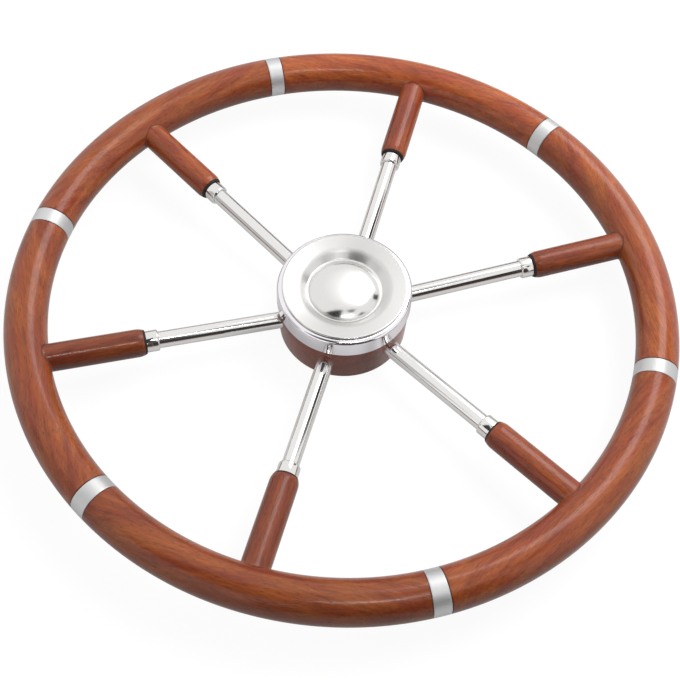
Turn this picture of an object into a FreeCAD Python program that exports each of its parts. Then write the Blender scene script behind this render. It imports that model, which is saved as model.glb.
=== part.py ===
import FreeCAD, Part
import math
import os
import re
import Sketcher

# Six-spoke dished boat steering wheel: a round mahogany rim in six glued segments with flush
# metal bands over the joints, mahogany grips on polished tube spokes, and a hub of a turned
# metal boss, a mahogany ring, a polished band, a dished cover and a snap-in cap.
# The wheel's axis is Z. The hub's base is at Z = 0 and the driver's side looks along +Z.

# Driving sizes in millimetres, unless the note says otherwise.
DRIVING = {
    # rim
    "wheel_diameter": 560,          # over the outside of the rim
    "rim_section": 35,              # diameter of the round rim
    "rim_height": 36.5,             # centre of the rim above the hub's base
    "ring_width": 13,               # band over a rim joint, along the rim
    "ring_wall": 1.5,
    "joint_gap": 0.1,               # glue line between two rim segments
    "dowel_diameter": 12,
    "dowel_length": 50,
    "dowel_chamfer": 1.2,
    # spokes
    "spoke_count": 6,               # pieces
    "first_spoke_angle": 90,        # degrees from +X, where the king spoke stands
    "spoke_diameter": 14,
    "spoke_wall": 1.5,
    "spoke_axis_height": 20.5,      # where the spokes' axes meet on the wheel's axis
    "spoke_hub_depth": 15.5,        # how far a spoke goes into the boss
    "spoke_rim_depth": 22,          # how far a spoke goes into the rim
    # grips and their collars
    "grip_length": 75.9,            # from its inner end to the rim
    "grip_wall": 4.5,
    "grip_end_step": 0.9,           # how much its inner end draws in all round
    "grip_nose_length": 6,          # over which it draws in
    "grip_edge_radius": 0.6,
    "washer_thickness": 1.4,
    "washer_inset": 0.2,            # inside the grip's end, all round
    "washer_bevel": 0.7,
    "ferrule_wall": 1.8,
    "ferrule_length": 10.7,
    "ferrule_lip": 0.2,             # flat left inside the rounded end
    # hub, wooden ring
    "wood_ring_height": 37.5,
    "wood_ring_diameter": 110.4,    # at its top, under the band
    "wood_ring_draft": 1,           # how much its foot is smaller all round
    "wood_ring_edge": 1.5,
    # hub, boss
    "taper_large": 19.05,           # bore at the base, 3/4 inch
    "taper_ratio": 12,              # length for 1 of change in diameter
    "key_width": 4.76,
    "key_depth": 2.4,               # keyway depth in the wall of the taper
    "bore_chamfer": 0.8,
    "barrel_diameter": 42,
    "barrel_step": 3,               # shoulder on the base plate, all round
    "carrier_diameter": 73,
    "carrier_thickness": 28,
    "carrier_chamfer": 1,
    "nut_recess": 34,
    "nut_recess_depth": 5.5,
    # hub, base plate and its wood screws, one between each pair of spokes
    "plate_diameter": 92,
    "plate_thickness": 2,
    "base_screw_diameter": 3.5,
    "base_screw_head": 6.8,
    "base_screw_length": 16,
    # hub, band and its screws, one between each pair of spokes
    "band_overhang": 1,             # outside the wooden ring
    "band_height": 17.5,
    "band_shoulder": 3.5,
    "band_edge": 0.4,
    "band_wall": 9.2,
    "web_thickness": 4,
    "web_setback": 1,               # web's bore outside the nut recess
    "band_screw_inset": 5,          # screws outside the web's bore
    "band_screw_diameter": 4,
    "band_screw_head": 7.5,
    "band_screw_length": 12,
    # hub, dished cover
    "disc_setback": 4.1,            # inside the band, all round
    "disc_rise": 2,                 # edge of the cover above the band
    "disc_edge_radius": 1,
    "disc_bead": 1.9,               # width of the polished bead on the edge
    "bead_drop": 0.25,              # inner edge of the bead below its top
    "disc_wall": 1.8,
    "groove_height": 0.5,           # shadow groove between cover and band
    "groove_depth": 1.6,
    "spigot_height": 3,
    "spigot_wall": 1.6,
    "dish_drop": 2.7,
    "brow_radius": 1.6,             # where the dish turns down into the well
    "well_bank": 3.3,               # width of the well's sloping wall
    "well_gap": 3.2,                # floor of the well that shows round the cap
    "well_drop": 4.7,
    "well_fillet": 0.8,
    "seat_width": 5,                # floor of the well under the cap
    "neck_wall": 1.6,
    "neck_height": 5.4,
    # hub, centre cap
    "cap_diameter": 60,
    "cap_height": 7.2,              # crown above the seat
    "cap_edge_width": 6,            # rounded edge outside the crown
    "cap_brow_drop": 2.8,
    "cap_edge_radius": 9.4,
    "cap_lip": 0.5,
    "cap_wall": 1.8,
    "skirt_wall": 3,
    "skirt_depth": 4.4,
    "oring_section": 1.8,
    "oring_inset": 0.75,            # depth of the cord's centre inside the skirt's face
    "oring_drop": 2.3,              # centre of the cord below the cap's seat
    # grub screws that lock the spokes
    "set_screw_inset": 6.5,         # inside the carrier's edge
    "set_screw_diameter": 6,
    "set_screw_sink": 0.5,          # top below the boss's face
    "slot_width": 1,
    "slot_depth": 1,
    # clearances
    "glue_fit": 0.1,                # all round a glued or locked round piece
    "slide_fit": 0.1,               # beside a piece that slides or drops in
    "bore_fit": 0.5,                # between the boss and the wooden ring
    "thread_fit": 0.05,             # beside a screw, whose thread is left plain
    "drill_spare": 1,               # how much deeper than its piece a blind hole goes
}

# Sizes that follow from the driving ones.
DERIVED = {
    "pitch": "=360 / spoke_count",
    "rim_radius": "=(wheel_diameter - rim_section) / 2",
    "spoke_slope": "=atan((rim_height - spoke_axis_height) / rim_radius)",
    "rim_station": "=rim_radius / cos(spoke_slope)",
    "spoke_start": "=carrier_diameter / 2 - spoke_hub_depth",
    "spoke_end": "=rim_station - rim_section / 2 + spoke_rim_depth",
    "ring_angle": "=ring_width / rim_radius * 180 / pi",
    "rebate_angle": "=(ring_width + 2 * slide_fit) / rim_radius * 180 / pi",
    "joint_angle": "=joint_gap / rim_radius * 180 / pi",
    "sleeve_bore": "=spoke_diameter + 2 * glue_fit",
    "grip_diameter": "=sleeve_bore + 2 * grip_wall",
    "grip_end_diameter": "=grip_diameter - 2 * grip_end_step",
    "grip_start": "=rim_station - rim_section / 2 - grip_length",
    "nose_radius": "=((grip_nose_length - grip_edge_radius)^2 + grip_end_step^2)"
                   " / (2 * grip_end_step)",
    "washer_diameter": "=grip_end_diameter - 2 * washer_inset",
    "ferrule_diameter": "=sleeve_bore + 2 * ferrule_wall",
    "ferrule_round": "=ferrule_wall - ferrule_lip",
    "ferrule_end": "=grip_start - washer_thickness",
    "ferrule_start": "=ferrule_end - ferrule_length",
    "wood_ring_foot": "=wood_ring_diameter - 2 * wood_ring_draft",
    "wood_ring_bore": "=carrier_diameter + 2 * bore_fit",
    "taper_length": "=wood_ring_height - nut_recess_depth",
    "taper_small": "=taper_large - taper_length / taper_ratio",
    "barrel_foot": "=barrel_diameter - 2 * barrel_step",
    "carrier_base": "=wood_ring_height - carrier_thickness",
    "base_screw_circle": "=(wood_ring_bore + plate_diameter) / 2",
    "set_screw_circle": "=carrier_diameter - 2 * set_screw_inset",
    "set_screw_foot": "=spoke_axis_height + spoke_diameter / 2 / cos(spoke_slope) + thread_fit"
                      " + (set_screw_circle + set_screw_diameter) / 2 * tan(spoke_slope)",
    "set_screw_length": "=wood_ring_height - set_screw_sink - set_screw_foot",
    "band_diameter": "=wood_ring_diameter + 2 * band_overhang",
    "band_bore": "=band_diameter - 2 * band_wall",
    "band_top": "=wood_ring_height + band_height",
    "web_top": "=wood_ring_height + web_thickness",
    "web_bore": "=nut_recess + 2 * web_setback",
    "band_screw_circle": "=web_bore + 2 * band_screw_inset",
    "tapped_depth": "=band_screw_length - web_thickness + drill_spare",
    "disc_diameter": "=band_diameter - 2 * disc_setback",
    "disc_top": "=band_top + disc_rise",
    "bead_inner": "=disc_diameter / 2 - disc_bead",
    "dish_floor": "=disc_top - dish_drop",
    "seat_height": "=dish_floor - well_drop",
    "well_diameter": "=cap_diameter + 2 * well_gap",
    "dish_diameter": "=well_diameter + 2 * well_bank",
    "dish_fall": "=(dish_drop - bead_drop) / (bead_inner - dish_diameter / 2)",
    "spigot_diameter": "=band_bore - 2 * slide_fit",
    "neck_diameter": "=cap_diameter - 2 * seat_width",
    "neck_foot": "=seat_height - neck_height",
    "skirt_diameter": "=neck_diameter - 4 * slide_fit",
    "oring_radius": "=skirt_diameter / 2 - oring_inset",
    "cap_brow_diameter": "=cap_diameter - 2 * cap_edge_width",
    "cap_brow_height": "=seat_height + cap_height - cap_brow_drop",
    "crown_radius": "=((cap_brow_diameter / 2)^2 + cap_brow_drop^2) / (2 * cap_brow_drop)",
    "hollow_radius": "=skirt_diameter / 2 - skirt_wall",
    "hollow_height": "=seat_height + cap_height - crown_radius"
                     " + sqrt((crown_radius - cap_wall)^2 - hollow_radius^2)",
}

doc = FreeCAD.newDocument("steering_wheel")
sizes = doc.addObject("Spreadsheet::Sheet", "Sizes")
for row, (alias, value) in enumerate(list(DRIVING.items()) + list(DERIVED.items()), start=1):
    sizes.set(f"A{row}", alias)
    sizes.setAlias(f"B{row}", alias)
    sizes.set(f"B{row}", str(value))
doc.recompute()

ALIASES = re.compile(r"\b(" + "|".join(list(DRIVING) + list(DERIVED)) + r")\b")


def bound(text):
    """The expression with every size's name read from the sheet."""
    return ALIASES.sub(r"Sizes.\1", str(text))


def number(text):
    """The present value of an expression, as a plain number."""
    value = sizes.evalExpression(bound(text))
    return float(getattr(value, "Value", value))


def new_body(label, turn="0"):
    """An empty body, turned about the wheel's axis."""
    body = doc.addObject("PartDesign::Body", label)
    body.Label = label
    upright = FreeCAD.Rotation(FreeCAD.Vector(0, 0, 1), number(turn))
    body.Placement = FreeCAD.Placement(FreeCAD.Vector(), upright)
    body.setExpression("Placement.Rotation.Angle", bound(turn))
    return body


def origin_item(body, role):
    """One of the body's own origin planes or axes."""
    return next(item for item in body.Origin.OriginFeatures if item.Role == role)


def new_sketch(body, name, out="0", lift="0", azimuth="0"):
    """An upright sketch through the wheel's axis at an azimuth, moved out from it and up."""
    sketch = body.newObject("Sketcher::SketchObject", name)
    sketch.AttachmentSupport = [(origin_item(body, "XZ_Plane"), "")]
    sketch.MapMode = "FlatFace"
    turn = FreeCAD.Rotation(FreeCAD.Vector(0, 1, 0), number(azimuth))
    sketch.AttachmentOffset = FreeCAD.Placement(FreeCAD.Vector(), turn)
    sketch.setExpression("AttachmentOffset.Base.x", bound(f"({out}) * cos({azimuth})"))
    sketch.setExpression("AttachmentOffset.Base.y", bound(lift))
    sketch.setExpression("AttachmentOffset.Base.z", bound(f"-({out}) * sin({azimuth})"))
    sketch.setExpression("AttachmentOffset.Rotation.Angle", bound(azimuth))
    return sketch


def spoke_sketch(body, name):
    """An upright sketch whose horizontal axis is the spoke's, from the wheel's axis outwards."""
    sketch = body.newObject("Sketcher::SketchObject", name)
    sketch.AttachmentSupport = [(origin_item(body, "XZ_Plane"), "")]
    sketch.MapMode = "FlatFace"
    slope = FreeCAD.Rotation(FreeCAD.Vector(0, 0, 1), number("spoke_slope"))
    sketch.AttachmentOffset = FreeCAD.Placement(FreeCAD.Vector(), slope)
    sketch.setExpression("AttachmentOffset.Base.y", bound("spoke_axis_height"))
    sketch.setExpression("AttachmentOffset.Rotation.Angle", bound("spoke_slope"))
    return sketch


def hold_point(sketch, side, end, x, y, tag):
    """Holds the end of a side at a place given by two expressions."""
    if x == "0":
        sketch.addConstraint(Sketcher.Constraint("PointOnObject", side, end, -2))
    else:
        index = sketch.addConstraint(Sketcher.Constraint("DistanceX", -1, 1, side, end, number(x)))
        sketch.renameConstraint(index, f"{tag}_x")
        sketch.setExpression(f"Constraints.{tag}_x", bound(x))
    if y == "0":
        sketch.addConstraint(Sketcher.Constraint("PointOnObject", side, end, -1))
    else:
        index = sketch.addConstraint(Sketcher.Constraint("DistanceY", -1, 1, side, end, number(y)))
        sketch.renameConstraint(index, f"{tag}_y")
        sketch.setExpression(f"Constraints.{tag}_y", bound(y))


def arc_between(start, end, radius):
    """An arc that turns left from start to end for a positive radius, right for a negative one."""
    chord = end - start
    across = FreeCAD.Vector(-chord.y, chord.x, 0).normalize()
    depth = math.sqrt(max(radius ** 2 - (chord.Length / 2) ** 2, 0))
    centre = start + chord * 0.5 + across * math.copysign(depth, radius)
    first, last = (start, end) if radius > 0 else (end, start)
    angles = [math.atan2(point.y - centre.y, point.x - centre.x) for point in (first, last)]
    circle = Part.Circle(centre, FreeCAD.Vector(0, 0, 1), abs(radius))
    return Part.ArcOfCircle(circle, *angles)


def outline(sketch, corners, arcs=None):
    """A closed outline. Corners are pairs of expressions, and arcs maps a side to its radius."""
    arcs = arcs or {}
    points = [FreeCAD.Vector(number(x), number(y), 0) for x, y in corners]
    count = len(points)
    ends = []
    for side in range(count):
        start = points[side]
        end = points[(side + 1) % count]
        if side in arcs:
            radius = number(arcs[side])
            sketch.addGeometry(arc_between(start, end, radius), False)
            ends.append((1, 2) if radius > 0 else (2, 1))
        else:
            sketch.addGeometry(Part.LineSegment(start, end), False)
            ends.append((1, 2))
    for side in range(count):
        following = (side + 1) % count
        joint = Sketcher.Constraint("Coincident", side, ends[side][1], following, ends[following][0])
        sketch.addConstraint(joint)
    for side, (x, y) in enumerate(corners):
        hold_point(sketch, side, ends[side][0], x, y, f"corner{side}")
    for side, text in arcs.items():
        radius = abs(number(text))
        index = sketch.addConstraint(Sketcher.Constraint("Radius", side, radius))
        sketch.renameConstraint(index, f"arc{side}")
        sketch.setExpression(f"Constraints.arc{side}", bound(f"abs({text})"))


def circle(sketch, x, y, diameter):
    """A circle held at its centre, with its diameter from an expression."""
    centre = FreeCAD.Vector(number(x), number(y), 0)
    index = sketch.addGeometry(Part.Circle(centre, FreeCAD.Vector(0, 0, 1), number(diameter) / 2), False)
    hold_point(sketch, index, 3, x, y, f"centre{index}")
    held = sketch.addConstraint(Sketcher.Constraint("Diameter", index, number(diameter)))
    sketch.renameConstraint(held, f"across{index}")
    sketch.setExpression(f"Constraints.across{index}", bound(diameter))


def upright_hole(sketch, radius, depth):
    """A rectangle from the sketch's own upright axis, to be turned about it."""
    outline(sketch, [("0", "0"), (radius, "0"), (radius, depth), ("0", depth)])


def countersunk_outline(sketch, diameter, head, length, spare="0", downwards=False):
    """Half of a countersunk screw on the sketch's upright axis, with its head at the origin."""
    sign = "-" if downwards else ""
    shank = f"({diameter}) / 2 + {spare}"
    rim = f"({head}) / 2 + {spare}"
    cone = f"{sign}(({head}) - ({diameter})) / 2"
    outline(sketch, [("0", "0"), (rim, "0"), (shank, cone), (shank, f"{sign}({length})"),
                     ("0", f"{sign}({length})")])


def slot_outline(sketch, head):
    """A screwdriver slot right across a head."""
    outline(sketch, [(f"-({head})", "0"), (head, "0"), (head, "slot_depth"),
                     (f"-({head})", "slot_depth")])


def revolve(body, sketch, name, axis="V_Axis", angle="360", cut=False):
    """Turns a sketch about one of its axes, half of the angle to each side."""
    feature = body.newObject("PartDesign::Groove" if cut else "PartDesign::Revolution", name)
    feature.Profile = sketch
    feature.ReferenceAxis = (sketch, [axis])
    feature.Midplane = True
    feature.Angle = number(angle)
    feature.setExpression("Angle", bound(angle))
    sketch.Visibility = False
    return feature


def extrude(body, sketch, name, length, cut=False):
    """Pads or pockets a sketch, half of the length to each side of it."""
    feature = body.newObject("PartDesign::Pocket" if cut else "PartDesign::Pad", name)
    feature.Profile = sketch
    feature.Midplane = True
    feature.setExpression("Length", bound(length))
    sketch.Visibility = False
    return feature


def repeat_round(body, features, name, count):
    """Repeats features evenly about the wheel's axis."""
    pattern = body.newObject("PartDesign::PolarPattern", name)
    pattern.Originals = features
    pattern.Axis = (origin_item(body, "Z_Axis"), [""])
    pattern.Angle = 360
    pattern.setExpression("Occurrences", bound(count))
    body.Tip = pattern
    return pattern


def ring_edges(body, diameter, height):
    """Names of the circular edges about the wheel's axis with this diameter and height."""
    names = []
    for index, edge in enumerate(body.Shape.Edges, start=1):
        curve = edge.Curve
        if isinstance(curve, Part.Circle) and abs(curve.Radius - number(diameter) / 2) < 0.01:
            if abs(curve.Center.z - number(height)) < 0.01 and math.hypot(*curve.Center[:2]) < 0.01:
                names.append(f"Edge{index}")
    return names


def dress_edges(body, name, kind, size, places):
    """Fillets or chamfers the circular edges at the given diameters and heights."""
    doc.recompute()
    names = [edge for diameter, height in places for edge in ring_edges(body, diameter, height)]
    base = body.Tip
    feature = body.newObject(f"PartDesign::{kind}", name)
    feature.Base = (base, names)
    feature.setExpression("Radius" if kind == "Fillet" else "Size", bound(size))
    body.Tip = feature
    return feature


# Rim segment: one sixth of the round rim, centred on its spoke. Each end is turned down for the
# joint's band and drilled for the dowel, and a blind socket takes the spoke.
def rim_segment(label, turn):
    body = new_body(label, turn)
    section = new_sketch(body, "section")
    circle(section, "rim_radius", "rim_height", "rim_section")
    revolve(body, section, "felloe", angle="pitch - joint_angle")

    rebate = new_sketch(body, "rebate_section", azimuth="pitch / 2")
    circle(rebate, "rim_radius", "rim_height", "rim_section + 4 * ring_wall")
    circle(rebate, "rim_radius", "rim_height", "rim_section - 2 * (ring_wall + glue_fit)")
    turned_end = revolve(body, rebate, "turned_end", angle="rebate_angle", cut=True)

    drill = new_sketch(body, "dowel_circle", azimuth="pitch / 2")
    circle(drill, "rim_radius", "rim_height", "dowel_diameter + 2 * glue_fit")
    dowel_hole = extrude(body, drill, "dowel_hole", "dowel_length + 2 * drill_spare", cut=True)

    other_end = body.newObject("PartDesign::Mirrored", "other_end")
    other_end.Originals = [turned_end, dowel_hole]
    other_end.MirrorPlane = (origin_item(body, "XZ_Plane"), [""])
    body.Tip = other_end

    socket = spoke_sketch(body, "socket_outline")
    inner = "rim_station - rim_section"
    outer = "spoke_end + drill_spare"
    radius = "sleeve_bore / 2"
    outline(socket, [(inner, "0"), (outer, "0"), (outer, radius), (inner, radius)])
    revolve(body, socket, "spoke_socket", axis="H_Axis", cut=True)
    return body


# Rim ring: a metal band let in flush over a joint of the rim.
def rim_ring(label, turn):
    body = new_body(label, turn)
    section = new_sketch(body, "section")
    circle(section, "rim_radius", "rim_height", "rim_section")
    circle(section, "rim_radius", "rim_height", "rim_section - 2 * ring_wall")
    revolve(body, section, "band", angle="ring_angle")
    return body


# Rim dowel: a hardwood pin with chamfered ends, glued across a joint under its ring.
def rim_dowel(label, turn):
    body = new_body(label, turn)
    section = new_sketch(body, "section")
    circle(section, "rim_radius", "rim_height", "dowel_diameter")
    pin = extrude(body, section, "pin", "dowel_length")
    doc.recompute()
    ends = body.newObject("PartDesign::Chamfer", "chamfered_ends")
    rims = [f"Edge{n}" for n, edge in enumerate(body.Shape.Edges, start=1)
            if isinstance(edge.Curve, Part.Circle)]
    ends.Base = (pin, rims)
    ends.setExpression("Size", bound("dowel_chamfer"))
    body.Tip = ends
    return body


# Spoke: a polished stainless tube from its seat in the boss into the rim.
def spoke(label, turn):
    body = new_body(label, turn)
    wall = spoke_sketch(body, "wall")
    outer = "spoke_diameter / 2"
    inner = "spoke_diameter / 2 - spoke_wall"
    outline(wall, [("spoke_start", inner), ("spoke_end", inner),
                   ("spoke_end", outer), ("spoke_start", outer)])
    revolve(body, wall, "tube", axis="H_Axis")
    return body


# Grip: a turned mahogany sleeve that draws in at its inner end and is coped to the round rim.
def grip(label, turn):
    body = new_body(label, turn)
    profile = spoke_sketch(body, "profile")
    bore = "sleeve_bore / 2"
    nose = "grip_start + grip_nose_length"
    full = "grip_diameter / 2"
    drawn_in = "grip_end_diameter / 2 - grip_edge_radius"
    outline(profile,
            [("grip_start", bore), ("rim_station", bore), ("rim_station", full), (nose, full),
             ("grip_start + grip_edge_radius", "grip_end_diameter / 2"), ("grip_start", drawn_in)],
            arcs={3: "nose_radius", 4: "grip_edge_radius"})
    revolve(body, profile, "sleeve", axis="H_Axis")

    cope = new_sketch(body, "cope_section")
    circle(cope, "rim_radius", "rim_height", "rim_section + 2 * glue_fit")
    revolve(body, cope, "coped_end", angle="pitch / 2", cut=True)
    return body


# Grip washer: a black gasket between the grip's end grain and the collar, bevelled to it.
def grip_washer(label, turn):
    body = new_body(label, turn)
    profile = spoke_sketch(body, "profile")
    bore = "sleeve_bore / 2"
    outer = "washer_diameter / 2"
    outline(profile, [("ferrule_end", bore), ("grip_start", bore), ("grip_start", outer),
                      ("ferrule_end", "washer_diameter / 2 - washer_bevel")])
    revolve(body, profile, "gasket", axis="H_Axis")
    return body


# Ferrule: a polished collar on the spoke, rounded towards the hub.
def ferrule(label, turn):
    body = new_body(label, turn)
    profile = spoke_sketch(body, "profile")
    bore = "sleeve_bore / 2"
    outer = "ferrule_diameter / 2"
    outline(profile,
            [("ferrule_start", bore), ("ferrule_end", bore), ("ferrule_end", outer),
             ("ferrule_start + ferrule_round", outer),
             ("ferrule_start", "ferrule_diameter / 2 - ferrule_round")],
            arcs={3: "ferrule_round"})
    revolve(body, profile, "collar", axis="H_Axis")
    return body


# Hub boss: turned metal. The shaft's taper goes in from the base, its nut sits in the recess on
# top, and the thick carrier round them holds the spokes in six radial seats, each locked by a
# grub screw from above. Tapped holes between the spokes take the band's screws.
def hub_boss():
    body = new_body("hub_boss", "first_spoke_angle")
    profile = new_sketch(body, "profile")
    outline(profile, [
        ("taper_large / 2", "0"),
        ("barrel_foot / 2", "0"),
        ("barrel_foot / 2", "plate_thickness"),
        ("barrel_diameter / 2", "plate_thickness"),
        ("barrel_diameter / 2", "carrier_base"),
        ("carrier_diameter / 2", "carrier_base"),
        ("carrier_diameter / 2", "wood_ring_height"),
        ("nut_recess / 2", "wood_ring_height"),
        ("nut_recess / 2", "taper_length"),
        ("taper_small / 2", "taper_length"),
    ])
    revolve(body, profile, "turning")
    dress_edges(body, "bore_mouth", "Chamfer", "bore_chamfer", [("taper_large", "0")])
    dress_edges(body, "carrier_edges", "Chamfer", "carrier_chamfer",
                [("carrier_diameter", "carrier_base"), ("carrier_diameter", "wood_ring_height")])

    keyway = new_sketch(body, "keyway_outline")
    outline(keyway, [("0", "0"), ("taper_large / 2 + key_depth", "0"),
                     ("taper_small / 2 + key_depth", "taper_length"), ("0", "taper_length")])
    extrude(body, keyway, "keyway", "key_width", cut=True)

    seat = spoke_sketch(body, "seat_outline")
    start = "spoke_start - glue_fit"
    beyond = "carrier_diameter / 2 + drill_spare"
    radius = "sleeve_bore / 2"
    outline(seat, [(start, "0"), (beyond, "0"), (beyond, radius), (start, radius)])
    spoke_seat = revolve(body, seat, "spoke_seat", axis="H_Axis", cut=True)

    lock = new_sketch(body, "lock_outline", out="set_screw_circle / 2", lift="spoke_axis_height")
    upright_hole(lock, "set_screw_diameter / 2 + thread_fit",
                 "wood_ring_height + drill_spare - spoke_axis_height")
    lock_hole = revolve(body, lock, "lock_hole", cut=True)

    tapped = new_sketch(body, "tapped_outline", out="band_screw_circle / 2",
                        lift="wood_ring_height - tapped_depth", azimuth="pitch / 2")
    upright_hole(tapped, "band_screw_diameter / 2 + thread_fit", "tapped_depth + drill_spare")
    tapped_hole = revolve(body, tapped, "tapped_hole", cut=True)
    repeat_round(body, [spoke_seat, lock_hole, tapped_hole], "spoke_places", "spoke_count")
    return body


# Hub wooden ring: turned mahogany, slightly narrower at its foot. Each spoke passes through it,
# the base plate is let into its underside and six pilot holes take the plate's screws.
def hub_wood_ring():
    body = new_body("hub_wood_ring", "first_spoke_angle")
    profile = new_sketch(body, "profile")
    rebate = "plate_diameter / 2 + slide_fit"
    outline(profile, [
        (rebate, "0"),
        ("wood_ring_foot / 2 - wood_ring_edge", "0"),
        ("wood_ring_foot / 2", "wood_ring_edge"),
        ("wood_ring_diameter / 2", "wood_ring_height"),
        ("wood_ring_bore / 2", "wood_ring_height"),
        ("wood_ring_bore / 2", "plate_thickness"),
        (rebate, "plate_thickness"),
    ], arcs={1: "wood_ring_edge"})
    revolve(body, profile, "turning")

    bore = spoke_sketch(body, "bore_outline")
    inner = "wood_ring_bore / 2 - spoke_diameter"
    beyond = "wood_ring_diameter / 2 + spoke_diameter"
    radius = "sleeve_bore / 2"
    outline(bore, [(inner, "0"), (beyond, "0"), (beyond, radius), (inner, radius)])
    spoke_hole = revolve(body, bore, "spoke_hole", axis="H_Axis", cut=True)

    pilot = new_sketch(body, "pilot_outline", out="base_screw_circle / 2", azimuth="pitch / 2")
    upright_hole(pilot, "base_screw_diameter / 2 + thread_fit", "base_screw_length + drill_spare")
    pilot_hole = revolve(body, pilot, "pilot_hole", cut=True)
    repeat_round(body, [spoke_hole, pilot_hole], "spoke_places", "spoke_count")
    return body


# Base plate: a flat ring round the boss's foot, let into the wooden ring and countersunk for six
# wood screws. It holds the wooden ring up against the band.
def base_plate():
    body = new_body("base_plate", "first_spoke_angle")
    profile = new_sketch(body, "profile")
    inner = "barrel_foot / 2 + slide_fit"
    outline(profile, [(inner, "0"), ("plate_diameter / 2", "0"),
                      ("plate_diameter / 2", "plate_thickness"), (inner, "plate_thickness")])
    revolve(body, profile, "turning")

    sink = new_sketch(body, "sink_outline", out="base_screw_circle / 2", azimuth="pitch / 2")
    countersunk_outline(sink, "base_screw_diameter", "base_screw_head",
                        "plate_thickness + drill_spare", "thread_fit")
    sunk_hole = revolve(body, sink, "sunk_hole", cut=True)
    repeat_round(body, [sunk_hole], "sunk_holes", "spoke_count")
    return body


# Base screws: six slotted countersunk wood screws, heads down, as separate solids.
def base_screws():
    body = new_body("base_screws", "first_spoke_angle + pitch / 2")
    profile = new_sketch(body, "profile", out="base_screw_circle / 2")
    countersunk_outline(profile, "base_screw_diameter", "base_screw_head", "base_screw_length")
    screw = revolve(body, profile, "screw")
    slot = new_sketch(body, "slot_outline", out="base_screw_circle / 2")
    slot_outline(slot, "base_screw_head")
    cut = extrude(body, slot, "slot", "slot_width", cut=True)
    repeat_round(body, [screw, cut], "screws", "spoke_count")
    return body


# Hub band: a polished turned ring that stands on the wooden ring, rounded at its shoulder, with
# an inner web that is screwed down to the boss.
def hub_band():
    body = new_body("hub_band", "first_spoke_angle")
    profile = new_sketch(body, "profile")
    outline(profile, [
        ("web_bore / 2", "wood_ring_height"),
        ("band_diameter / 2 - band_edge", "wood_ring_height"),
        ("band_diameter / 2", "wood_ring_height + band_edge"),
        ("band_diameter / 2", "band_top - band_shoulder"),
        ("band_diameter / 2 - band_shoulder", "band_top"),
        ("band_bore / 2", "band_top"),
        ("band_bore / 2", "web_top"),
        ("web_bore / 2", "web_top"),
    ], arcs={3: "band_shoulder"})
    revolve(body, profile, "turning")

    sink = new_sketch(body, "sink_outline", out="band_screw_circle / 2",
                      lift="web_top", azimuth="pitch / 2")
    countersunk_outline(sink, "band_screw_diameter", "band_screw_head",
                        "web_thickness + drill_spare", "thread_fit", downwards=True)
    sunk_hole = revolve(body, sink, "sunk_hole", cut=True)
    repeat_round(body, [sunk_hole], "sunk_holes", "spoke_count")
    return body


# Band screws: six slotted countersunk screws in the web, as separate solids.
def band_screws():
    body = new_body("band_screws", "first_spoke_angle + pitch / 2")
    profile = new_sketch(body, "profile", out="band_screw_circle / 2", lift="web_top")
    countersunk_outline(profile, "band_screw_diameter", "band_screw_head", "band_screw_length",
                        downwards=True)
    screw = revolve(body, profile, "screw")
    slot = new_sketch(body, "slot_outline", out="band_screw_circle / 2",
                      lift="web_top - slot_depth")
    slot_outline(slot, "band_screw_head")
    cut = extrude(body, slot, "slot", "slot_width", cut=True)
    repeat_round(body, [screw, cut], "screws", "spoke_count")
    return body


# Spoke set screws: six slotted grub screws in the boss, each resting on a spoke.
def spoke_set_screws():
    body = new_body("spoke_set_screws", "first_spoke_angle")
    profile = new_sketch(body, "profile", out="set_screw_circle / 2", lift="set_screw_foot")
    upright_hole(profile, "set_screw_diameter / 2", "set_screw_length")
    screw = revolve(body, profile, "screw")
    slot = new_sketch(body, "slot_outline", out="set_screw_circle / 2",
                      lift="set_screw_foot + set_screw_length - slot_depth")
    slot_outline(slot, "set_screw_diameter")
    cut = extrude(body, slot, "slot", "slot_width", cut=True)
    repeat_round(body, [screw, cut], "screws", "spoke_count")
    return body


# Hub disc: the dished cover. A polished bead runs round its edge, the satin face falls gently to
# a brow, and a well with a flat floor seats the cap. A spigot drops into the band, and a neck in
# the middle grips the cap's ring.
def hub_disc():
    body = new_body("hub_disc", "first_spoke_angle")
    profile = new_sketch(body, "profile")
    spigot = "spigot_diameter / 2"
    spigot_inner = "spigot_diameter / 2 - spigot_wall"
    under_floor = "seat_height - neck_wall"
    outline(profile, [
        ("neck_diameter / 2", "neck_foot"),
        ("neck_diameter / 2 + neck_wall", "neck_foot"),
        ("neck_diameter / 2 + neck_wall", under_floor),
        ("well_diameter / 2 + disc_wall / 2", under_floor),
        ("dish_diameter / 2 + disc_wall / 2", "dish_floor - disc_wall"),
        (spigot_inner, f"dish_floor - disc_wall + ({spigot_inner} - dish_diameter / 2) * dish_fall"),
        (spigot_inner, "band_top - spigot_height"),
        (spigot, "band_top - spigot_height"),
        (spigot, "band_top"),
        ("disc_diameter / 2 - groove_depth", "band_top"),
        ("disc_diameter / 2 - groove_depth", "band_top + groove_height"),
        ("disc_diameter / 2", "band_top + groove_height"),
        ("disc_diameter / 2", "disc_top - disc_edge_radius"),
        ("disc_diameter / 2 - disc_edge_radius", "disc_top"),
        ("bead_inner", "disc_top - bead_drop"),
        ("dish_diameter / 2", "dish_floor"),
        ("well_diameter / 2", "seat_height"),
        ("neck_diameter / 2", "seat_height"),
    ], arcs={12: "disc_edge_radius"})
    revolve(body, profile, "turning")
    dress_edges(body, "brow", "Fillet", "brow_radius", [("dish_diameter", "dish_floor")])
    dress_edges(body, "well_corner", "Fillet", "well_fillet", [("well_diameter", "seat_height")])
    return body


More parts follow.
